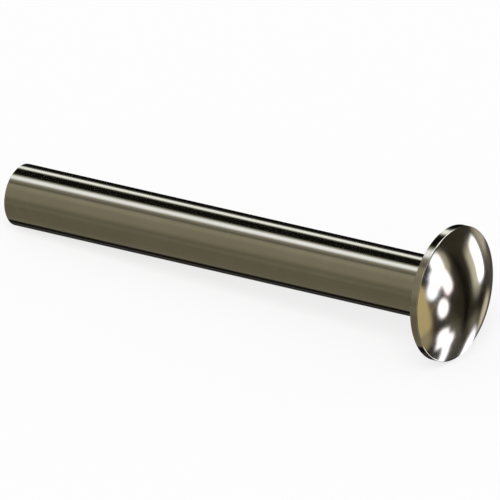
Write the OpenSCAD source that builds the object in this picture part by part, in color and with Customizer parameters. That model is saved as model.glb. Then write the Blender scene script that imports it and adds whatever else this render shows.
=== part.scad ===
// Semi-tubular rivet, turned out of one piece of wire: a wide low head with a rim
// band and a domed crown, a plain round shank, and a blind hole in the tail whose
// wall is rolled outwards when the rivet is set.
//
// The section is drawn upright, with the underside of the head at zero, and is
// revolved. The rivet is then laid down the way it comes to rest on a bench: on
// the lower edge of the rim band and the outer edge of the tail, so its axis
// climbs a little towards the head. All sizes are in millimetres.

/* [Shank] */
// Diameter of the shank
shank_diameter = 4.71; // [3:0.01:8]
// Length from the underside of the head to the end of the tail
shank_length = 38.1; // [15:0.1:75]
// Radius of the fillet where the shank meets the head
neck_fillet = 0.2; // [0.1:0.01:0.5]
// Width of the edge break round the end of the tail
tail_chamfer = 0.06; // [0.02:0.01:0.15]

/* [Head] */
// Diameter over the rim band
head_diameter = 10.24; // [9:0.01:15]
// Height of the rim band, from the underside to where the dome springs
rim_thickness = 0.62; // [0.3:0.01:1.5]
// Rise of the dome above the rim band
dome_height = 1.25; // [0.6:0.01:2.5]
// Radius that eases the edge between the rim band and the dome
rim_round = 0.1; // [0.05:0.01:0.2]
// Width of the edge break between the rim band and the underside
rim_chamfer = 0.04; // [0.02:0.01:0.1]

/* [Tail hole] */
// Wall left between the hole and the outside of the shank
tail_wall = 0.6; // [0.45:0.01:1]
// Depth of the straight part of the hole, from the end of the tail
hole_depth = 4.7; // [2:0.1:10]
// Angle across the cone that closes the hole, in degrees
cone_angle = 120; // [90:1:150]
// Width of the countersink round the mouth of the hole
mouth_chamfer = 0.12; // [0.05:0.01:0.25]

/* [Hidden] */

turn_facets = 128;
dome_facets = 360;
round_facets = 48;

shank_radius = shank_diameter / 2;
head_radius = head_diameter / 2;
head_height = rim_thickness + dome_height;
hole_radius = shank_radius - tail_wall;
cone_height = hole_radius / tan(cone_angle / 2);
tail_end = -shank_length;

// The crown is part of a ball that passes through the top corner of the rim band.
dome_radius = (head_radius * head_radius + dome_height * dome_height) / (2 * dome_height);
dome_centre = head_height - dome_radius;

// The eased edge is a ring of round section, tucked into the corner so that it
// touches both the band and the ball. It stands a hair proud of the ball, which
// makes the two cross in one clean line.
round_proud = 0.0002;
round_x = head_radius - rim_round;
round_z = dome_centre + sqrt(pow(dome_radius - rim_round + round_proud, 2) - round_x * round_x);
touch_angle = atan2(round_z - dome_centre, round_x);

// Slope of the axis when rim and tail both touch the bench, and the height and
// shift that set the lying rivet on the bench with the middle of its box over
// the origin.
rest_slope = atan2(head_radius - shank_radius, shank_length - tail_chamfer + rim_chamfer);
rest_lift = head_radius * cos(rest_slope) - rim_chamfer * sin(rest_slope);
tail_reach = tail_end * cos(rest_slope) - (shank_radius - tail_chamfer) * sin(rest_slope);
crown_reach = dome_centre * cos(rest_slope) + dome_radius;
rest_shift = -(tail_reach + crown_reach) / 2;

// How far a cutting or trimming outline runs past the metal
clear = 1;

// Half section of the head: the rim band, its eased edge and the crown
module head_section() {
    polygon([
        [0, 0],
        [head_radius - rim_chamfer, 0],
        [head_radius, rim_chamfer],
        [head_radius, round_z],
        [0, round_z]
    ]);
    translate([round_x, round_z])
        circle(r = rim_round, $fn = round_facets);
    intersection() {
        translate([0, dome_centre])
            circle(r = dome_radius, $fn = dome_facets);
        polygon([
            [0, round_z],
            [round_x, round_z],
            [round_x + clear * cos(touch_angle), round_z + clear * sin(touch_angle)],
            [0, head_height + clear]
        ]);
    }
}

// Half section of the shank, solid, with the fillet that runs into the head
module shank_section() {
    polygon([
        [0, tail_end],
        [shank_radius - tail_chamfer, tail_end],
        [shank_radius, tail_end + tail_chamfer],
        [shank_radius, 0],
        [0, 0]
    ]);
    difference() {
        translate([0, -neck_fillet])
            square([shank_radius + neck_fillet, neck_fillet]);
        translate([shank_radius + neck_fillet, -neck_fillet])
            circle(r = neck_fillet, $fn = round_facets);
    }
}

// Half section of the blind hole: countersunk mouth, straight wall, coned bottom
module hole_section() {
    polygon([
        [0, tail_end - clear],
        [hole_radius + mouth_chamfer, tail_end - clear],
        [hole_radius + mouth_chamfer, tail_end],
        [hole_radius, tail_end + mouth_chamfer],
        [hole_radius, tail_end + hole_depth],
        [0, tail_end + hole_depth + cone_height]
    ]);
}

// The half section of the whole rivet, revolved about its axis
module turned_rivet() {
    rotate_extrude($fn = turn_facets)
        difference() {
            union() {
                head_section();
                shank_section();
            }
            hole_section();
        }
}

// The rivet as it lies
module rivet() {
    color([0.48, 0.45, 0.37])
        translate([rest_shift, 0, rest_lift])
            rotate([0, 90 - rest_slope, 0])
                turned_rivet();
}

rivet();
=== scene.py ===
# Semi-tubular rivet, lying on a pale bench on the rim of its head and the edge of its tail.
# The scene is in metres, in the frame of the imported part; the dictionaries give millimetres
# where they say so.
import math
import bpy
from mathutils import Matrix, Vector


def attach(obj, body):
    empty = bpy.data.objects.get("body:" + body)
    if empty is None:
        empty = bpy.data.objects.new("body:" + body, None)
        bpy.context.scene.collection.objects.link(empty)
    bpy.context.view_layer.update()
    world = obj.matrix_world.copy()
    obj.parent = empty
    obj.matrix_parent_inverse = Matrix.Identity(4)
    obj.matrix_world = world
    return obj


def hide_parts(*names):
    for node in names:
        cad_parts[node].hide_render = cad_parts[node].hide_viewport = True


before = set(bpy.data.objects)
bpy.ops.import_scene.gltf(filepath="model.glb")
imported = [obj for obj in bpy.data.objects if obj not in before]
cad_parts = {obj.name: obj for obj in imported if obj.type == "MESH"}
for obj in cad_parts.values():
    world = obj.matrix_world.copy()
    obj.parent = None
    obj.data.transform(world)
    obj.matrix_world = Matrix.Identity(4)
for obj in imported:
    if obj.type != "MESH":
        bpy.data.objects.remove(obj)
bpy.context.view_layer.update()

mm = 0.001
scene = bpy.context.scene

# sizes in millimetres, as the part is drawn upright, with the head's underside at zero
rivetSizes = {
    "shankDiameter": 4.71,
    "shankLength": 38.1,
    "neckFillet": 0.2,
    "tailChamfer": 0.06,
    "headDiameter": 10.24,
    "rimThickness": 0.62,
    "domeHeight": 1.25,
    "rimRound": 0.1,
    "rimChamfer": 0.04,
    "tailWall": 0.6,
    "holeDepth": 4.7,
    "coneAngle": 120,  # degrees
    "mouthChamfer": 0.12,
}

# how finely the section is turned
turning = {
    "stepsAround": 256,
    "crownSteps": 72,
    "roundSteps": 11,
    "shankLoops": 26,
    "shortLoops": 6,
    "edgeHold": 0.03,      # mm from a line's end to its first loop, so that flats shade flat
    "sharpAngle": 24,      # degrees past which an edge is left crisp
    "spindleRadius": 10,   # mm, of the circle that the section is swept round
    "weldGap": 0.0002,     # mm
}

# slope of the axis at rest, and the place of the middle of the head's underside
headRadius = rivetSizes["headDiameter"] / 2
shankRadius = rivetSizes["shankDiameter"] / 2
holeRadius = shankRadius - rivetSizes["tailWall"]
tailEnd = -rivetSizes["shankLength"]
domeRadius = (headRadius ** 2 + rivetSizes["domeHeight"] ** 2) / (2 * rivetSizes["domeHeight"])
domeCentre = rivetSizes["rimThickness"] + rivetSizes["domeHeight"] - domeRadius
restSlope = math.atan2(
    headRadius - shankRadius,
    rivetSizes["shankLength"] - rivetSizes["tailChamfer"] + rivetSizes["rimChamfer"],
)
restLift = headRadius * math.cos(restSlope) - rivetSizes["rimChamfer"] * math.sin(restSlope)
tailReach = tailEnd * math.cos(restSlope)
tailReach -= (shankRadius - rivetSizes["tailChamfer"]) * math.sin(restSlope)
crownReach = domeCentre * math.cos(restSlope) + domeRadius
restShift = -(tailReach + crownReach) / 2
restPlace = Vector((restShift, 0, restLift)) * mm
restTurn = (0, math.radians(90) - restSlope, 0)
print("rest slope", round(math.degrees(restSlope), 3), "degrees, lift", round(restLift, 3), "mm")


# small helpers shared by the geometry and shader trees

def addNode(tree, kind, label=None, **settings):
    node = tree.nodes.new(kind)
    for name, value in settings.items():
        setattr(node, name, value)
    if label:
        node.label = label
    return node


# links a socket, or sets a plain value
def feed(tree, socket, value):
    if isinstance(value, bpy.types.NodeSocket):
        tree.links.new(value, socket)
    else:
        socket.default_value = value


def calc(tree, operation, *values):
    node = addNode(tree, "ShaderNodeMath", operation=operation)
    for socket, value in zip(node.inputs, values):
        feed(tree, socket, value)
    return node.outputs[0]


def distance(tree, first, second):
    squares = calc(tree, "ADD", calc(tree, "POWER", first, 2.0), calc(tree, "POWER", second, 2.0))
    return calc(tree, "SQRT", squares)


def combine(tree, x, y, z=0.0):
    node = addNode(tree, "ShaderNodeCombineXYZ")
    for socket, value in zip(node.inputs, (x, y, z)):
        feed(tree, socket, value)
    return node.outputs[0]


# 0 before start and 1 past end, with a soft change between
def soften(tree, value, start, end):
    node = addNode(tree, "ShaderNodeMapRange", interpolation_type="SMOOTHSTEP")
    feed(tree, node.inputs["Value"], value)
    feed(tree, node.inputs["From Min"], start)
    feed(tree, node.inputs["From Max"], end)
    return node.outputs["Result"]


def noiseAt(tree, place, scale, detail, dimensions="3D"):
    node = addNode(tree, "ShaderNodeTexNoise", noise_dimensions=dimensions)
    feed(tree, node.inputs["W" if dimensions == "1D" else "Vector"], place)
    feed(tree, node.inputs["Scale"], scale)
    feed(tree, node.inputs["Detail"], detail)
    return node.outputs[0]


# a Mix node's sockets go by number: 2 and 3 take values, 4 and 5 vectors, 6 and 7 colours
def mixValue(tree, label, factor, first, second):
    node = addNode(tree, "ShaderNodeMix", label, data_type="FLOAT")
    for number, value in zip((0, 2, 3), (factor, first, second)):
        feed(tree, node.inputs[number], value)
    return node.outputs[0]


def mixColour(tree, label, factor, first, second):
    node = addNode(tree, "ShaderNodeMix", label, data_type="RGBA")
    feed(tree, node.inputs[0], factor)
    for number, value in ((6, first), (7, second)):
        plain = not isinstance(value, bpy.types.NodeSocket)
        feed(tree, node.inputs[number], (*value, 1) if plain else value)
    return node.outputs[2]


def newTree(name, kind, inputs, outputs):
    tree = bpy.data.node_groups.new(name, kind)
    for title, socketKind in inputs:
        tree.interface.new_socket(title, in_out="INPUT", socket_type=socketKind)
    for title, socketKind in outputs:
        tree.interface.new_socket(title, in_out="OUTPUT", socket_type=socketKind)
    return tree, addNode(tree, "NodeGroupInput").outputs, addNode(tree, "NodeGroupOutput").inputs


# places a group with its own values, and returns its outputs
def placeGroup(tree, group, label, values):
    kind = "GeometryNodeGroup" if tree.bl_idname == "GeometryNodeTree" else "ShaderNodeGroup"
    node = addNode(tree, kind, label, node_tree=group)
    for title, value in values.items():
        feed(tree, node.inputs[title], value)
    return node.outputs


# a straight stretch of the section, with a loop held close to each end
def makeStraight():
    mostHold = 0.3  # share of a short line's length
    tree, given, out = newTree("straightStretch", "GeometryNodeTree", [
        ("Start", "NodeSocketVector"),
        ("End", "NodeSocketVector"),
        ("Loops", "NodeSocketInt"),
        ("Hold", "NodeSocketFloat"),
    ], [("Stretch", "NodeSocketGeometry")])
    line = addNode(tree, "GeometryNodeCurvePrimitiveLine")
    feed(tree, line.inputs["Start"], given["Start"])
    feed(tree, line.inputs["End"], given["End"])
    parts = addNode(tree, "GeometryNodeResampleCurve")
    feed(tree, parts.inputs["Curve"], line.outputs["Curve"])
    feed(tree, parts.inputs["Count"], given["Loops"])
    span = addNode(tree, "ShaderNodeVectorMath", operation="DISTANCE")
    feed(tree, span.inputs[0], given["Start"])
    feed(tree, span.inputs[1], given["End"])
    hold = calc(tree, "DIVIDE", given["Hold"], span.outputs["Value"])
    hold = calc(tree, "MINIMUM", hold, mostHold)
    index = addNode(tree, "GeometryNodeInputIndex").outputs[0]
    last = calc(tree, "SUBTRACT", given["Loops"], 1)
    spread = addNode(tree, "ShaderNodeMapRange", clamp=False)
    feed(tree, spread.inputs["Value"], index)
    feed(tree, spread.inputs["From Min"], 1.0)
    feed(tree, spread.inputs["From Max"], calc(tree, "SUBTRACT", last, 1))
    feed(tree, spread.inputs["To Min"], hold)
    feed(tree, spread.inputs["To Max"], calc(tree, "SUBTRACT", 1.0, hold))
    pastFirst = calc(tree, "GREATER_THAN", index, 0.5)
    atLast = calc(tree, "GREATER_THAN", index, calc(tree, "SUBTRACT", last, 0.5))
    inner = calc(tree, "MINIMUM", spread.outputs["Result"], 1.0)
    share = calc(tree, "MAXIMUM", calc(tree, "MULTIPLY", inner, pastFirst), atLast)
    between = addNode(tree, "ShaderNodeMix", data_type="VECTOR", clamp_factor=False)
    feed(tree, between.inputs[0], share)
    feed(tree, between.inputs[4], given["Start"])
    feed(tree, between.inputs[5], given["End"])
    place = addNode(tree, "GeometryNodeSetPosition")
    feed(tree, place.inputs["Geometry"], parts.outputs["Curve"])
    feed(tree, place.inputs["Position"], between.outputs[1])
    feed(tree, out["Stretch"], place.outputs["Geometry"])
    return tree


# a round stretch of the section, about its own centre
def makeRound():
    tree, given, out = newTree("roundStretch", "GeometryNodeTree", [
        ("Centre", "NodeSocketVector"),
        ("Radius", "NodeSocketFloat"),
        ("From", "NodeSocketFloat"),
        ("Sweep", "NodeSocketFloat"),
        ("Steps", "NodeSocketInt"),
    ], [("Stretch", "NodeSocketGeometry")])
    arc = addNode(tree, "GeometryNodeCurveArc", mode="RADIUS")
    feed(tree, arc.inputs["Resolution"], given["Steps"])
    feed(tree, arc.inputs["Radius"], given["Radius"])
    feed(tree, arc.inputs["Start Angle"], given["From"])
    feed(tree, arc.inputs["Sweep Angle"], given["Sweep"])
    move = addNode(tree, "GeometryNodeTransform")
    feed(tree, move.inputs["Geometry"], arc.outputs["Curve"])
    feed(tree, move.inputs["Translation"], given["Centre"])
    feed(tree, out["Stretch"], move.outputs["Geometry"])
    return tree


# the whole rivet: its half section stretch by stretch, revolved, welded and laid down
def makeLathe():
    lengths = ["Shank Radius", "Shank Length", "Neck Fillet", "Tail Chamfer", "Head Radius",
               "Rim Thickness", "Dome Height", "Rim Round", "Rim Chamfer", "Hole Radius",
               "Hole Depth", "Mouth Chamfer", "Edge Hold", "Spindle Radius", "Weld Gap"]
    angles = ["Cone Angle", "Sharp Angle"]
    counts = ["Steps Around", "Crown Steps", "Round Steps", "Shank Loops", "Short Loops"]
    inputs = [(title, "NodeSocketFloat") for title in lengths + angles]
    inputs += [(title, "NodeSocketInt") for title in counts]
    inputs += [(title, "NodeSocketVector") for title in ("Place", "Turn")]
    inputs += [("Metal", "NodeSocketMaterial")]
    tree, given, out = newTree("turnedRivet", "GeometryNodeTree", inputs,
                               [("Geometry", "NodeSocketGeometry")])
    straight = makeStraight()
    roundBit = makeRound()
    stretches = []

    def reckon(operation, *values):
        return calc(tree, operation, *values)

    # the section is drawn one spindle radius back, which brings its zero onto the axis
    def point(radius, height):
        return combine(tree, reckon("SUBTRACT", radius, given["Spindle Radius"]), height)

    def line(label, start, end, loops):
        stretches.append(placeGroup(tree, straight, label, {
            "Start": start, "End": end, "Loops": loops, "Hold": given["Edge Hold"]})[0])

    def arc(label, centre, radius, start, sweep, steps):
        stretches.append(placeGroup(tree, roundBit, label, {
            "Centre": centre, "Radius": radius, "From": start, "Sweep": sweep, "Steps": steps})[0])

    headR = given["Head Radius"]
    shankR = given["Shank Radius"]
    holeR = given["Hole Radius"]
    rimRound = given["Rim Round"]
    rimChamfer = given["Rim Chamfer"]
    fillet = given["Neck Fillet"]
    short = given["Short Loops"]
    bare = 2  # loops of a chamfer, which has none but its two ends
    quarter = math.pi / 2
    # the ball of the crown passes through the top corner of the rim band
    rise = given["Dome Height"]
    squares = reckon("ADD", reckon("POWER", headR, 2.0), reckon("POWER", rise, 2.0))
    ballR = reckon("DIVIDE", squares, reckon("MULTIPLY", rise, 2.0))
    ballZ = reckon("SUBTRACT", reckon("ADD", given["Rim Thickness"], rise), ballR)
    # the eased edge touches both the band and the ball
    roundR = reckon("SUBTRACT", headR, rimRound)
    reach = reckon("SUBTRACT", ballR, rimRound)
    lift = reckon("SUBTRACT", reckon("POWER", reach, 2.0), reckon("POWER", roundR, 2.0))
    lift = reckon("SQRT", lift)
    roundZ = reckon("ADD", ballZ, lift)
    touch = reckon("ARCTAN2", lift, roundR)
    crownSweep = reckon("SUBTRACT", touch, quarter)
    arc("crown", point(0.0, ballZ), ballR, quarter, crownSweep, given["Crown Steps"])
    easeSweep = reckon("MULTIPLY", touch, -1.0)
    arc("eased edge", point(roundR, roundZ), rimRound, touch, easeSweep, given["Round Steps"])
    line("rim band", point(headR, roundZ), point(headR, rimChamfer), short)
    chamferR = reckon("SUBTRACT", headR, rimChamfer)
    line("rim chamfer", point(headR, rimChamfer), point(chamferR, 0.0), bare)
    neckR = reckon("ADD", shankR, fillet)
    line("underside", point(chamferR, 0.0), point(neckR, 0.0), short)
    below = reckon("MULTIPLY", fillet, -1.0)
    arc("neck fillet", point(neckR, below), fillet, quarter, quarter, given["Round Steps"])
    tailZ = reckon("MULTIPLY", given["Shank Length"], -1.0)
    tailSide = reckon("ADD", tailZ, given["Tail Chamfer"])
    tailFace = reckon("SUBTRACT", shankR, given["Tail Chamfer"])
    line("shank", point(shankR, below), point(shankR, tailSide), given["Shank Loops"])
    line("tail chamfer", point(shankR, tailSide), point(tailFace, tailZ), bare)
    mouthR = reckon("ADD", holeR, given["Mouth Chamfer"])
    mouthZ = reckon("ADD", tailZ, given["Mouth Chamfer"])
    line("tail face", point(tailFace, tailZ), point(mouthR, tailZ), short)
    line("mouth", point(mouthR, tailZ), point(holeR, mouthZ), bare)
    boreZ = reckon("ADD", tailZ, given["Hole Depth"])
    line("bore", point(holeR, mouthZ), point(holeR, boreZ), short)
    halfCone = reckon("DIVIDE", given["Cone Angle"], 2.0)
    coneZ = reckon("ADD", boreZ, reckon("DIVIDE", holeR, reckon("TANGENT", halfCone)))
    line("hole cone", point(holeR, boreZ), point(0.0, coneZ), short)

    section = addNode(tree, "GeometryNodeJoinGeometry", "half section")
    for stretch in reversed(stretches):
        tree.links.new(stretch, section.inputs[0])
    path = addNode(tree, "GeometryNodeCurvePrimitiveCircle", "spindle", mode="RADIUS")
    feed(tree, path.inputs["Resolution"], given["Steps Around"])
    feed(tree, path.inputs["Radius"], given["Spindle Radius"])
    upright = addNode(tree, "GeometryNodeSetCurveNormal", mode="Z_UP")
    feed(tree, upright.inputs["Curve"], path.outputs["Curve"])
    revolve = addNode(tree, "GeometryNodeCurveToMesh", "revolve")
    feed(tree, revolve.inputs["Curve"], upright.outputs["Curve"])
    feed(tree, revolve.inputs["Profile Curve"], section.outputs["Geometry"])
    weld = addNode(tree, "GeometryNodeMergeByDistance", "weld")
    feed(tree, weld.inputs["Geometry"], revolve.outputs["Mesh"])
    feed(tree, weld.inputs["Distance"], given["Weld Gap"])
    smooth = addNode(tree, "GeometryNodeSetShadeSmooth", domain="FACE")
    feed(tree, smooth.inputs["Geometry"], weld.outputs["Geometry"])
    bend = addNode(tree, "GeometryNodeInputMeshEdgeAngle")
    crisp = addNode(tree, "GeometryNodeSetShadeSmooth", "crisp corners", domain="EDGE")
    feed(tree, crisp.inputs["Geometry"], smooth.outputs["Geometry"])
    sharp = reckon("GREATER_THAN", bend.outputs["Unsigned Angle"], given["Sharp Angle"])
    feed(tree, crisp.inputs["Selection"], sharp)
    feed(tree, crisp.inputs["Shade Smooth"], False)
    # the revolve hangs the section head down, with its faces turned in
    outward = addNode(tree, "GeometryNodeFlipFaces")
    feed(tree, outward.inputs["Mesh"], crisp.outputs["Geometry"])
    upend = addNode(tree, "GeometryNodeTransform", "head up")
    feed(tree, upend.inputs["Geometry"], outward.outputs["Mesh"])
    feed(tree, upend.inputs["Rotation"], (math.pi, 0, 0))
    lay = addNode(tree, "GeometryNodeTransform", "lay down")
    feed(tree, lay.inputs["Geometry"], upend.outputs["Geometry"])
    feed(tree, lay.inputs["Translation"], given["Place"])
    feed(tree, lay.inputs["Rotation"], given["Turn"])
    real = addNode(tree, "GeometryNodeRealizeInstances")
    feed(tree, real.inputs["Geometry"], lay.outputs["Geometry"])
    dress = addNode(tree, "GeometryNodeSetMaterial")
    feed(tree, dress.inputs["Geometry"], real.outputs["Geometry"])
    feed(tree, dress.inputs["Material"], given["Metal"])
    feed(tree, out["Geometry"], dress.outputs["Geometry"])
    return tree


# runs the lathe on a blank and keeps the result as a plain mesh
def turnRivet(metal):
    tree = makeLathe()
    blank = bpy.data.objects.new("rivetBlank", bpy.data.meshes.new("rivetBlank"))
    scene.collection.objects.link(blank)
    lathe = blank.modifiers.new("lathe", "NODES")
    lathe.node_group = tree
    values = {
        "Shank Radius": shankRadius * mm,
        "Shank Length": rivetSizes["shankLength"] * mm,
        "Neck Fillet": rivetSizes["neckFillet"] * mm,
        "Tail Chamfer": rivetSizes["tailChamfer"] * mm,
        "Head Radius": headRadius * mm,
        "Rim Thickness": rivetSizes["rimThickness"] * mm,
        "Dome Height": rivetSizes["domeHeight"] * mm,
        "Rim Round": rivetSizes["rimRound"] * mm,
        "Rim Chamfer": rivetSizes["rimChamfer"] * mm,
        "Hole Radius": holeRadius * mm,
        "Hole Depth": rivetSizes["holeDepth"] * mm,
        "Cone Angle": math.radians(rivetSizes["coneAngle"]),
        "Mouth Chamfer": rivetSizes["mouthChamfer"] * mm,
        "Edge Hold": turning["edgeHold"] * mm,
        "Spindle Radius": turning["spindleRadius"] * mm,
        "Weld Gap": turning["weldGap"] * mm,
        "Sharp Angle": math.radians(turning["sharpAngle"]),
        "Steps Around": turning["stepsAround"],
        "Crown Steps": turning["crownSteps"],
        "Round Steps": turning["roundSteps"],
        "Shank Loops": turning["shankLoops"],
        "Short Loops": turning["shortLoops"],
        "Place": restPlace,
        "Turn": restTurn,
        "Metal": metal,
    }
    for item in tree.interface.items_tree:
        if item.in_out == "INPUT":
            lathe[item.identifier] = values[item.name]
    seen = blank.evaluated_get(bpy.context.evaluated_depsgraph_get())
    mesh = bpy.data.meshes.new_from_object(seen)
    mesh.name = "turnedRivet"
    bpy.data.objects.remove(blank)
    rivet = bpy.data.objects.new("turnedRivet", mesh)
    scene.collection.objects.link(rivet)
    print("turned rivet:", len(mesh.vertices), "points,", len(mesh.polygons), "faces")
    return rivet


# the finish of the metal: bright dark nickel plate over drawn and headed wire
metalFinish = {
    "plate": (0.170, 0.150, 0.105),
    "plateDeep": (0.148, 0.130, 0.090),  # where the plate lies a little thicker
    "rubbedAndGlint": (0.290, 0.265, 0.215),     # plate worn thin on the corners; on the crown's eased edge the brighter plate is also a painted glint
    "bore": (0.200, 0.180, 0.145),       # the plating bath hardly reaches the hole
    "roughness": 0.088,
    "boreRoughness": 0.34,
    "tailFaceRoughness": 0.21,
    # sizes of the patterns, mm
    "patchSize": 2.6,
    "waveSize": 2.2,         # of the slow unevenness that heading leaves
    "rubAndGlintPatchSize": 0.9,
    "lineSpacing": 0.16,     # between drawing lines round the shank
    "lineLength": 9.0,
    "streakSpacing": 0.75,   # between the broad soft streaks on the shank
    "streakLength": 40.0,
    "ringSpacing": 0.15,     # between turning rings on the head
    "scratchSpacing": 0.5,
    "scratchLength": 6.0,
    "edgeReach": 0.075,      # that the wear and painted edge glint spread from a corner
    "cornerInset": 0.02,     # from a sharp corner to the middle of its edge break
    # turns that set the hairlines askew on shank and crown alike, radians
    "scratchTurns": ((0, 0.7, 0.2), (0, -0.9, -0.7), (0, 1.0, 0.9)),
    # levels of the patterns between which lines and streaks darken
    "grainFrom": 0.45,
    "grainTo": 0.75,
    "streakFrom": 0.42,
    "streakTo": 0.66,
    # share of the darker or lighter colour that each effect brings in
    "patchTint": 0.5,
    "grainTint": 0.30,
    "streakTint": 0.45,
    "scratchTint": 0.10,
    "rubAndGlintLeast": 0.05,
    "rubAndGlintRange": 0.65,        # on top of the least, where the wear and painted glint aren't broken
    # what each effect adds to the roughness
    "patchRough": 0.016,
    "grainRough": 0.018,
    "scratchRough": 0.03,
    "rubRough": 0.05,
    # what each effect adds to the relief, micrometres
    "ringRelief": 0.16,
    "lineRelief": 0.26,
    "tailFaceRelief": 2.2,
    "scratchRelief": -0.12,
    "waveRelief": 0.9,
    "boreRelief": 14.0,
}

# where one finish gives way to another: from and to, mm
finishEdges = {
    "neck": (-0.35, -0.12),     # height at which the shank's lines end
    "tailFace": (0.03, 0.01),   # height over the end of the tail
    "holeWall": (0.06, 0.02),   # radius past the wall of the hole
    "holeSide": (-8.0, -10.0),  # height that tells the hole from the middle of the crown
}


# where a point lies on the turned part
def makeTurnedPlace():
    tree, given, out = newTree("turnedPlace", "ShaderNodeTree", [
        ("Vector", "NodeSocketVector"),
    ], [("Radius", "NodeSocketFloat"), ("Height", "NodeSocketFloat")])
    split = addNode(tree, "ShaderNodeSeparateXYZ")
    feed(tree, split.inputs[0], given["Vector"])
    feed(tree, out["Radius"], distance(tree, split.outputs["X"], split.outputs["Y"]))
    feed(tree, out["Height"], split.outputs["Z"])
    return tree


# slow cloudy change over the surface, 0 to 1
def makeSoftPatches():
    lowest = 0.3   # the noise hardly leaves this range
    highest = 0.7
    tree, given, out = newTree("softPatches", "ShaderNodeTree", [
        ("Vector", "NodeSocketVector"),
        ("Size", "NodeSocketFloat"),
        ("Detail", "NodeSocketFloat"),
    ], [("Patches", "NodeSocketFloat")])
    scale = calc(tree, "DIVIDE", 1.0, given["Size"])
    noise = noiseAt(tree, given["Vector"], scale, given["Detail"])
    feed(tree, out["Patches"], soften(tree, noise, lowest, highest))
    return tree


# fine lines that run with the axis, as wire drawing leaves them
def makeDrawnLines():
    tree, given, out = newTree("drawnLines", "ShaderNodeTree", [
        ("Vector", "NodeSocketVector"),
        ("Spacing", "NodeSocketFloat"),
        ("Length", "NodeSocketFloat"),
    ], [("Lines", "NodeSocketFloat")])
    size = combine(tree, given["Spacing"], given["Spacing"], given["Length"])
    drawn = addNode(tree, "ShaderNodeVectorMath", operation="DIVIDE")
    feed(tree, drawn.inputs[0], given["Vector"])
    feed(tree, drawn.inputs[1], size)
    feed(tree, out["Lines"], noiseAt(tree, drawn.outputs[0], 1.0, 2.0))
    return tree


# rings about the axis, which come and go a little on their way round
def makeTurnedRings():
    driftScale = 0.12  # waves in one ring spacing
    driftReach = 3.0
    tree, given, out = newTree("turnedRings", "ShaderNodeTree", [
        ("Vector", "NodeSocketVector"),
        ("Radius", "NodeSocketFloat"),
        ("Height", "NodeSocketFloat"),
        ("Spacing", "NodeSocketFloat"),
    ], [("Rings", "NodeSocketFloat")])
    across = calc(tree, "DIVIDE", given["Radius"], given["Spacing"])
    upward = calc(tree, "DIVIDE", given["Height"], given["Spacing"])
    drift = noiseAt(tree, given["Vector"], calc(tree, "DIVIDE", driftScale, given["Spacing"]), 0.0)
    place = combine(tree, across, upward, calc(tree, "MULTIPLY", drift, driftReach))
    feed(tree, out["Rings"], noiseAt(tree, place, 1.0, 2.0))
    return tree


# a band of given reach on each side of one turned corner
def makeCornerBand():
    fullUpTo = 0.25  # share of the reach
    tree, given, out = newTree("cornerBand", "ShaderNodeTree", [
        ("Radius", "NodeSocketFloat"),
        ("Height", "NodeSocketFloat"),
        ("Corner Radius", "NodeSocketFloat"),
        ("Corner Height", "NodeSocketFloat"),
        ("Reach", "NodeSocketFloat"),
    ], [("Band", "NodeSocketFloat")])
    outwards = calc(tree, "SUBTRACT", given["Radius"], given["Corner Radius"])
    upwards = calc(tree, "SUBTRACT", given["Height"], given["Corner Height"])
    share = calc(tree, "DIVIDE", distance(tree, outwards, upwards), given["Reach"])
    feed(tree, out["Band"], soften(tree, share, 1.0, fullUpTo))
    return tree


# sparse straight hairlines in one direction, from handling in a box of the same parts
def makeHairlines():
    lineLevel = 0.57      # of the noise across the lines: further from 0.5, fewer lines
    lineWidth = 0.022
    lineCore = 0.004
    stretchScale = 1.7    # how often a line comes and goes
    stretchFrom = 0.56
    stretchTo = 0.70
    tree, given, out = newTree("hairlines", "ShaderNodeTree", [
        ("Vector", "NodeSocketVector"),
        ("Turn", "NodeSocketVector"),
        ("Spacing", "NodeSocketFloat"),
        ("Length", "NodeSocketFloat"),
    ], [("Scratches", "NodeSocketFloat")])
    turned = addNode(tree, "ShaderNodeVectorRotate", rotation_type="EULER_XYZ")
    feed(tree, turned.inputs["Vector"], given["Vector"])
    feed(tree, turned.inputs["Rotation"], given["Turn"])
    split = addNode(tree, "ShaderNodeSeparateXYZ")
    feed(tree, split.inputs[0], turned.outputs[0])
    across = calc(tree, "DIVIDE", split.outputs["X"], given["Spacing"])
    # the line is where a slow noise across it passes one level
    passing = calc(tree, "SUBTRACT", noiseAt(tree, across, 1.0, 1.0, "1D"), lineLevel)
    thin = soften(tree, calc(tree, "ABSOLUTE", passing), lineWidth, lineCore)
    # each line is kept over short stretches of its own
    along = calc(tree, "DIVIDE", split.outputs["Y"], given["Length"])
    inward = calc(tree, "DIVIDE", split.outputs["Z"], given["Length"])
    where = noiseAt(tree, combine(tree, across, along, inward), stretchScale, 1.0)
    kept = soften(tree, where, stretchFrom, stretchTo)
    feed(tree, out["Scratches"], calc(tree, "MULTIPLY", thin, kept))
    return tree


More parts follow.
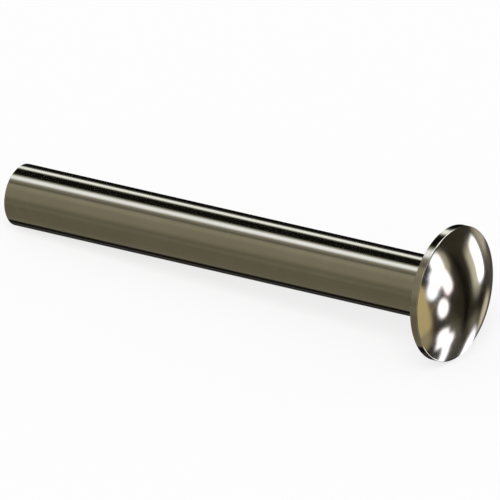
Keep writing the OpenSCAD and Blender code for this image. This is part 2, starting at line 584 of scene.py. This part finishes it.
def makeMetal():
    metal = bpy.data.materials.new("darkNickelPlate")
    metal.use_nodes = True
    tree = metal.node_tree
    look = metalFinish
    # the patterns are laid on the upright part: height along the axis from the head's underside
    upright = addNode(tree, "ShaderNodeMapping", "upright part", vector_type="TEXTURE")
    feed(tree, upright.inputs["Vector"], addNode(tree, "ShaderNodeTexCoord").outputs["Object"])
    feed(tree, upright.inputs["Location"], restPlace)
    feed(tree, upright.inputs["Rotation"], restTurn)
    own = upright.outputs[0]
    radius, height = placeGroup(tree, makeTurnedPlace(), "place", {"Vector": own})[:2]

    # 1 past the second of two places, counted in millimetres from a base
    def past(value, edge, base=0):
        start, end = finishEdges[edge]
        return soften(tree, value, (base + start) * mm, (base + end) * mm)

    def blend(label, factor, amount, first, second):
        return mixColour(tree, label, calc(tree, "MULTIPLY", factor, amount), first, second)

    def addShare(value, amount, base):
        return calc(tree, "MULTIPLY_ADD", value, amount, base)

    def greatest(masks):
        most = masks[0]
        for mask in masks[1:]:
            most = calc(tree, "MAXIMUM", most, mask)
        return most

    onHead = past(height, "neck")
    inRadius = past(radius, "holeWall", holeRadius)
    inHole = calc(tree, "MULTIPLY", inRadius, past(height, "holeSide"))
    onTailFace = past(height, "tailFace", tailEnd)
    ringed = calc(tree, "MAXIMUM", onHead, onTailFace)
    onShank = calc(tree, "SUBTRACT", 1.0, ringed)

    softPatches = makeSoftPatches()

    def patchesOf(label, size, detail):
        return placeGroup(tree, softPatches, label, {
            "Vector": own, "Size": size * mm, "Detail": detail})[0]

    drawnLines = makeDrawnLines()

    def linesOf(label, spacing, length):
        return placeGroup(tree, drawnLines, label, {
            "Vector": own, "Spacing": spacing * mm, "Length": length * mm})[0]

    patches = patchesOf("plate thickness", look["patchSize"], 2.0)
    lines = linesOf("wire drawing", look["lineSpacing"], look["lineLength"])
    streaks = linesOf("broad streaks", look["streakSpacing"], look["streakLength"])
    rings = placeGroup(tree, makeTurnedRings(), "head polish", {
        "Vector": own, "Radius": radius, "Height": height, "Spacing": look["ringSpacing"] * mm})[0]
    grain = mixValue(tree, "lines or rings", ringed, lines, rings)

    hairlines = makeHairlines()
    scratches = greatest([
        placeGroup(tree, hairlines, "hairlines", {
            "Vector": own, "Turn": turn, "Spacing": look["scratchSpacing"] * mm,
            "Length": look["scratchLength"] * mm})[0]
        for turn in look["scratchTurns"]])

    cornerBand = makeCornerBand()
    inset = look["cornerInset"]
    corners = {
        "crown corner": (headRadius - inset, rivetSizes["rimThickness"] - inset),
        "underside corner": (headRadius - inset, inset),
        "tail corner": (shankRadius - inset, tailEnd + inset),
        "mouth corner": (holeRadius + rivetSizes["mouthChamfer"], tailEnd),
    }
    # corners where the plate is worn thin; the brighter colour there also paints a glint along the
    # crown's eased edge
    nearCorners = greatest([
        placeGroup(tree, cornerBand, label, {
            "Radius": radius, "Height": height, "Corner Radius": cornerRadius * mm,
            "Corner Height": cornerHeight * mm, "Reach": look["edgeReach"] * mm})[0]
        for label, (cornerRadius, cornerHeight) in corners.items()])
    broken = patchesOf("broken rubbing and glint", look["rubAndGlintPatchSize"], 3.0)
    rubbedAndGlint = calc(tree, "MULTIPLY", nearCorners, addShare(broken, look["rubAndGlintRange"], look["rubAndGlintLeast"]))

    grainDark = soften(tree, grain, look["grainFrom"], look["grainTo"])
    streakDark = soften(tree, streaks, look["streakFrom"], look["streakTo"])
    streakDark = calc(tree, "MULTIPLY", streakDark, onShank)
    colour = blend("patches", patches, look["patchTint"], look["plate"], look["plateDeep"])
    colour = blend("grain", grainDark, look["grainTint"], colour, look["plateDeep"])
    colour = blend("streaks", streakDark, look["streakTint"], colour, look["plateDeep"])
    colour = blend("scratches", scratches, look["scratchTint"], colour, look["rubbedAndGlint"])
    # painted glint: the brighter corner colour lights up the crown's eased edge, on top of the
    # real wear
    colour = mixColour(tree, "rubbed corners", rubbedAndGlint, colour, look["rubbedAndGlint"])
    colour = mixColour(tree, "hole", inHole, colour, look["bore"])

    rough = addShare(patches, look["patchRough"], look["roughness"])
    rough = addShare(grain, look["grainRough"], rough)
    rough = addShare(scratches, look["scratchRough"], rough)
    rough = addShare(rubbedAndGlint, look["rubRough"], rough)
    rough = mixValue(tree, "sheared tail face", onTailFace, rough, look["tailFaceRoughness"])
    rough = mixValue(tree, "duller hole", inHole, rough, look["boreRoughness"])

    wave = patchesOf("headed surface", look["waveSize"], 1.0)
    fine = mixValue(tree, "fine relief", onShank, look["ringRelief"], look["lineRelief"])
    relief = calc(tree, "MULTIPLY", grain, addShare(onTailFace, look["tailFaceRelief"], fine))
    relief = addShare(scratches, look["scratchRelief"], relief)
    relief = addShare(calc(tree, "MULTIPLY", wave, onHead), look["waveRelief"], relief)
    relief = addShare(calc(tree, "MULTIPLY", rings, inHole), look["boreRelief"], relief)
    bump = addNode(tree, "ShaderNodeBump")
    feed(tree, bump.inputs["Height"], relief)
    feed(tree, bump.inputs["Strength"], 1.0)
    feed(tree, bump.inputs["Distance"], 0.001 * mm)  # one micrometre

    shader = tree.nodes["Principled BSDF"]
    feed(tree, shader.inputs["Base Color"], colour)
    feed(tree, shader.inputs["Roughness"], rough)
    feed(tree, shader.inputs["Normal"], bump.outputs[0])
    shader.inputs["Metallic"].default_value = 1.0
    return metal


rivet = turnRivet(makeMetal())
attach(rivet, "root")
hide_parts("rivet")


# the camera looks down from the head's side, from so far off that the rivet's sides stay parallel
view = {
    "azimuth": 33.60,  # degrees from straight in front towards the head
    "elevation": 27.53,
    "lens": 1600.0,  # mm
    "sensor": 36.0,
    "fieldWidth": 37.09,  # mm seen across the frame at the aim
    "aim": (0.29, 0.48, 3.27),  # mm
}


# from the object towards a camera or lamp
def outTo(azimuth, elevation):
    turn = math.radians(azimuth)
    climb = math.radians(elevation)
    level = math.cos(climb)
    return Vector((math.sin(turn) * level, -math.cos(turn) * level, math.sin(climb)))


def setCamera():
    back = outTo(view["azimuth"], view["elevation"])
    data = bpy.data.cameras.new("camera")
    data.lens = view["lens"]
    data.sensor_width = view["sensor"]
    camera = bpy.data.objects.new("camera", data)
    scene.collection.objects.link(camera)
    farOff = view["lens"] * view["fieldWidth"] / view["sensor"]
    camera.location = (Vector(view["aim"]) + back * farOff) * mm
    camera.rotation_euler = (-back).to_track_quat("-Z", "Y").to_euler()
    scene.camera = camera


setCamera()
print("camera set")


# the studio is seen only in the metal: each panel is aimed by the direction that it lies in

# a panel by its azimuth, 0 ahead of the head, and its elevation
def aimAt(azimuth, elevation):
    turn = math.radians(azimuth)
    climb = math.radians(elevation)
    level = math.cos(climb)
    forward = Vector((math.cos(turn) * level, math.sin(turn) * level, math.sin(climb)))
    along = Vector((-math.sin(turn), math.cos(turn), 0))
    return forward, along, forward.cross(along)


rivetAxis = Matrix.Rotation(restTurn[1], 3, "Y") @ Vector((0, 0, 1))
rivetUp = Vector((-rivetAxis.z, 0, rivetAxis.x))  # square to the axis, straight over it


# a strip parallel to the rivet; the angle is round its axis, 0 level in front and 90 overhead
def aimRound(angle):
    turn = math.radians(angle)
    forward = Vector((0, -math.cos(turn), 0)) + rivetUp * math.sin(turn)
    return forward, rivetAxis, forward.cross(rivetAxis)


# a soft-edged panel far off in one direction; its mask is 1 inside
def makePanel():
    least = 0.0001  # ahead, which keeps the panel from showing behind as well
    tree, given, out = newTree("studioPanel", "ShaderNodeTree", [
        ("Direction", "NodeSocketVector"),
        ("Forward", "NodeSocketVector"),
        ("Along", "NodeSocketVector"),
        ("Across", "NodeSocketVector"),
        ("Half Length", "NodeSocketFloat"),
        ("Half Width", "NodeSocketFloat"),
        ("Squareness", "NodeSocketFloat"),
        ("Softness", "NodeSocketFloat"),
    ], [("Mask", "NodeSocketFloat")])

    def dot(axis):
        node = addNode(tree, "ShaderNodeVectorMath", operation="DOT_PRODUCT")
        feed(tree, node.inputs[0], given["Direction"])
        feed(tree, node.inputs[1], given[axis])
        return node.outputs["Value"]

    ahead = dot("Forward")
    depth = calc(tree, "MAXIMUM", ahead, least)
    spans = []
    for axis, half in (("Along", "Half Length"), ("Across", "Half Width")):
        offset = calc(tree, "ABSOLUTE", calc(tree, "DIVIDE", dot(axis), depth))
        share = calc(tree, "DIVIDE", offset, given[half])
        spans.append(calc(tree, "POWER", share, given["Squareness"]))
    total = calc(tree, "ADD", spans[0], spans[1])
    edge = calc(tree, "POWER", total, calc(tree, "DIVIDE", 1.0, given["Squareness"]))
    # the distance past the edge, in the units of the half width
    past = calc(tree, "MULTIPLY", calc(tree, "SUBTRACT", edge, 1.0), given["Half Width"])
    within = calc(tree, "MULTIPLY", given["Softness"], -1.0)
    fade = soften(tree, past, given["Softness"], within)
    facing = calc(tree, "GREATER_THAN", ahead, least)
    feed(tree, out["Mask"], calc(tree, "MULTIPLY", fade, facing))
    return tree


# the walls of the studio, behind all panels
wallLook = {
    "low": (0.60, 0.59, 0.51),
    "high": (1, 1, 0.94),
    "lowUpTo": -0.10,  # height of the direction, -1 down to 1 up
    "highFrom": 0.25,
}

# shape that all strips share
stripLook = {
    "halfLength": 3.0,  # times its distance
    "corner": 8,        # 2 is an oval, and higher is squarer
}

# strips that run along the rivet: angle round its axis, half width, softness, level, tint
# angles are in degrees here and in the next table; a later entry covers the earlier ones
strips = {
    "frontGlow": (-11, 7, 6, 0.70, (1.0, 1.0, 0.93)),
    "frontLift": (52, 8, 6, 1.22, (1.0, 1.0, 0.94)),
    "frontDip": (65.5, 4, 3, 0.56, (0.99, 1.05, 1.04)),
    "ceilingStrip": (87.4, 7.8, 5.5, 5.0, (0.94, 1.06, 1.4)),
    "gapCard": (116.8, 15.4, 2, 0.025, (1, 0.97, 0.8)),
    "rearStrip": (143.5, 6.9, 2.8, 4.15, (0.95, 1.05, 1.2)),
    "rearCard": (179.5, 24, 6.5, 0.01, (1, 1, 1)),
    "underStrip": (-97.5, 10.5, 2.5, 0.02, (1, 1, 1)),
    "underCard": (-124, 16, 5, 0.06, (1, 1, 1)),
}

# panels seen in the crown:
# azimuth, elevation, half width, half height, lean, corner, softness, level, tint
crownPanels = {
    "darkCard": (53, -22, 64, 50, 0, 4, 6, 0.11, (1.0, 0.96, 0.76)),
    "topCard": (52, 12, 16, 10, 10, 2, 6, 0.16, (1.0, 0.95, 0.8)),
    "rightCard": (80, -44, 12, 6, 10, 2, 4, 0.18, (1.0, 0.95, 0.8)),
    "darkSeam": (47.5, -16, 3.0, 26, -24, 2, 3, 0.025, (1, 0.95, 0.75)),
    "hazeTan": (13.5, -15, 2.6, 5, -15, 2, 3, 0.55, (1, 0.92, 0.8)),
    "backCard": (88, 33, 22, 12, 0, 3, 4, 0.10, (1, 1, 1)),
    "glintHigh": (33, 45, 8, 16, 0, 4, 3, 9, (0.97, 1.06, 1.35)),
    "glintTop": (62, 40, 9.5, 13, 0, 4, 3, 9, (0.97, 1.06, 1.35)),
    "glintLow": (10, -64, 13, 7, 0, 4, 3, 8, (0.97, 1.06, 1.35)),
    "glintFoot": (53, -59.5, 8.5, 7.2, 0, 4, 2.5, 8, (0.97, 1.06, 1.35)),
    "boardFoot": (-2, -40, 17, 14, -22, 4, 3, 1.4, (1.0, 0.92, 0.72)),
    "tanBoard": (-7.5, -17, 16.5, 21, -18, 8, 2.5, 2.35, (1.0, 0.88, 0.57)),
    "boardTop": (2.9, -6.3, 5.0, 7.5, -14, 3, 2.5, 2.3, (1.0, 0.88, 0.57)),
    "boardFade": (-26, -18, 13.5, 34, -18, 5, 9, 0.3, (1, 0.95, 0.8)),
    "hazeLeft": (27.6, 5.5, 5.9, 9, -12, 2, 3.5, 1.75, (1, 1, 0.95)),
    "lampTop": (22.4, 7.0, 5.6, 8.2, -8, 3, 2, 8, (1, 1.06, 1.45)),
    "lampLeftHigh": (16.0, 2.4, 4.0, 4.2, 0, 2, 2, 8, (0.95, 1.1, 1.6)),
    "lampLeftLow": (13.8, -5, 5.3, 5.9, 0, 2, 2, 8, (0.95, 1.1, 1.6)),
    "lampBridge": (20.0, -2, 3.0, 4.2, 0, 2, 2, 8, (1, 1.08, 1.5)),
    "lampRight": (27.4, -5.2, 4.3, 7.9, -22, 3, 2, 8, (1.1, 1.06, 1.45)),
    "lampOval": (23.7, -19.6, 4.5, 6.6, -30, 2, 1.4, 8, (1, 1.06, 1.45)),
    "hazeLow": (47, -38.2, 12.8, 4.4, 35, 2, 4, 0.48, (1, 1, 0.9)),
    "lampLow": (34.8, -39.3, 4.2, 5.3, -35, 4, 1.3, 8, (1, 1.06, 1.45)),
    "lampLowTop": (31.6, -36.1, 4.2, 3.0, 0, 2.5, 1.3, 8, (1, 1.06, 1.45)),
    "lampFloor": (51.6, -46.5, 12.5, 2.4, 38, 2.5, 1.3, 8, (1, 1.06, 1.4)),
    "lampLobe": (44.6, -41.2, 4.6, 3.7, 34, 2.5, 1.4, 8, (1, 1.06, 1.4)),
    "hazeFoot": (66, -22.8, 4.6, 2.6, 8, 2, 3, 1.0, (1, 1, 0.9)),
    "rightWash": (88, -20.5, 6, 3, 20, 2, 2.5, 0.26, (1, 0.95, 0.8)),
    "gapShade": (77.5, -28.5, 4.5, 2.4, 10, 2, 2.5, 0.04, (1, 0.95, 0.8)),
    "hazeStreak": (61, -11.8, 5.6, 10.0, -21, 4, 4.2, 2.3, (1, 1, 0.95)),
    "lampStreak": (68.2, -12.2, 5.0, 9.5, -24, 4, 1.6, 8, (1, 1.06, 1.35)),
    "wallRight": (80.5, -8.5, 5.2, 10.5, -36, 2.5, 4.5, 1.35, (1, 0.96, 0.82)),
    "hazeEdge": (74, -34.8, 5.5, 2.2, 8, 2, 3, 0.6, (1, 0.95, 0.8)),
    "tanStrip": (93.2, -31.6, 6.4, 3.0, 8, 3, 1.5, 1.25, (1, 0.9, 0.7)),
    "lampEdge": (98, -38.9, 10, 2.2, -1, 3, 2, 8, (1, 1.03, 1.2)),
}

# these lean with their ends kept level
slanted = ("hazeStreak", "lampStreak")


def makeWorld():
    world = bpy.data.worlds.new("studio")
    scene.world = world
    world.use_nodes = True
    world.cycles.sampling_method = "NONE"
    tree = world.node_tree
    panel = makePanel()
    direction = addNode(tree, "ShaderNodeTexCoord").outputs["Generated"]
    split = addNode(tree, "ShaderNodeSeparateXYZ")
    feed(tree, split.inputs[0], direction)
    horizon = soften(tree, split.outputs["Z"], wallLook["lowUpTo"], wallLook["highFrom"])
    colour = mixColour(tree, "walls", horizon, wallLook["low"], wallLook["high"])

    def hang(name, aim, halfLength, halfWidth, corner, softness, level, tint):
        nonlocal colour
        forward, along, across = aim
        mask = placeGroup(tree, panel, name, {
            "Direction": direction, "Forward": forward, "Along": along, "Across": across,
            "Half Length": halfLength, "Half Width": halfWidth,
            "Squareness": corner, "Softness": softness})["Mask"]
        colour = mixColour(tree, name, mask, colour, [level * part for part in tint])

    def tangent(angle):
        return math.tan(math.radians(angle))

    for name, (angle, half, soft, level, tint) in strips.items():
        hang(name, aimRound(angle), stripLook["halfLength"], tangent(half), stripLook["corner"],
             tangent(soft), level, tint)
    for name, row in crownPanels.items():
        azimuth, elevation, wide, high, lean, corner, soft, level, tint = row
        forward, along, across = aimAt(azimuth, elevation)
        roll = Matrix.Rotation(math.radians(-lean), 3, forward)
        aim = (forward, roll @ along, across if name in slanted else roll @ across)
        hang(name, aim, tangent(wide), tangent(high), corner, tangent(soft), level, tint)

    rays = addNode(tree, "ShaderNodeLightPath").outputs
    mirrored = calc(tree, "MAXIMUM", rays["Is Glossy Ray"], rays["Is Transmission Ray"])
    fresh = calc(tree, "LESS_THAN", rays["Diffuse Depth"], 0.5)  # not by way of the bench
    inMetal = calc(tree, "MULTIPLY", mirrored, fresh)
    # the camera sees white behind; the bench is lit half by this even sky and half by the lamp
    plain = mixColour(tree, "white behind", rays["Is Camera Ray"], [skyLevel] * 3, (1, 1, 1))
    shown = mixColour(tree, "studio only in reflections", inMetal, plain, colour)
    feed(tree, tree.nodes["Background"].inputs["Color"], shown)


# one big soft lamp on the bench, from behind the camera; its level and the sky's add up to 1
skyLevel = 0.5
lampLook = {
    "azimuth": 25,
    "elevation": 50,
    "softAngle": 40,
    "farOff": 0.3,  # m, which only says where its mark stands
}


def hangLamp():
    back = outTo(lampLook["azimuth"], lampLook["elevation"])
    data = bpy.data.lights.new("bigLamp", "SUN")
    data.angle = math.radians(lampLook["softAngle"])
    data.energy = math.pi * (1 - skyLevel) / back.z  # a level bench gets the same at any climb
    lamp = bpy.data.objects.new("bigLamp", data)
    scene.collection.objects.link(lamp)
    lamp.rotation_euler = back.to_track_quat("Z", "Y").to_euler()
    lamp.location = back * lampLook["farOff"]
    lamp.visible_glossy = False


makeWorld()
hangLamp()
print("studio set:", len(strips), "strips and", len(crownPanels), "panels")


# pale bench, fading out to the white of the studio
benchLook = {
    "halfSize": 0.26,   # m
    "colour": (0.985, 0.985, 0.985),
    "lift": 0.78,       # share of plain white that the camera sees in it
    "fadeFrom": 0.055,  # m from the middle
    "fadeTo": 0.15,
}


def makeBench():
    half = benchLook["halfSize"]
    mesh = bpy.data.meshes.new("bench")
    corners = [(-half, -half, 0), (half, -half, 0), (half, half, 0), (-half, half, 0)]
    mesh.from_pydata(corners, [], [(0, 1, 2, 3)])
    bench = bpy.data.objects.new("bench", mesh)
    scene.collection.objects.link(bench)
    bench.visible_glossy = False
    paint = bpy.data.materials.new("paleBench")
    paint.use_nodes = True
    tree = paint.node_tree
    tree.nodes.remove(tree.nodes["Principled BSDF"])
    matt = addNode(tree, "ShaderNodeBsdfDiffuse")
    feed(tree, matt.inputs["Color"], (*benchLook["colour"], 1))
    clear = addNode(tree, "ShaderNodeBsdfTransparent")
    far = addNode(tree, "ShaderNodeVectorMath", operation="LENGTH")
    feed(tree, far.inputs[0], addNode(tree, "ShaderNodeTexCoord").outputs["Object"])
    fade = soften(tree, far.outputs["Value"], benchLook["fadeFrom"], benchLook["fadeTo"])
    # the camera sees the bench lifted towards white, which leaves the shadow a faint one
    white = addNode(tree, "ShaderNodeEmission")
    feed(tree, white.inputs["Color"], (*benchLook["colour"], 1))
    seen = addNode(tree, "ShaderNodeLightPath").outputs["Is Camera Ray"]
    lifted = addNode(tree, "ShaderNodeMixShader")
    feed(tree, lifted.inputs[0], calc(tree, "MULTIPLY", seen, benchLook["lift"]))
    feed(tree, lifted.inputs[1], matt.outputs[0])
    feed(tree, lifted.inputs[2], white.outputs[0])
    blend = addNode(tree, "ShaderNodeMixShader")
    feed(tree, blend.inputs[0], fade)
    feed(tree, blend.inputs[1], lifted.outputs[0])
    feed(tree, blend.inputs[2], clear.outputs[0])
    feed(tree, tree.nodes["Material Output"].inputs["Surface"], blend.outputs[0])
    mesh.materials.append(paint)


makeBench()
print("bench laid")

scene.view_settings.view_transform = "Standard"
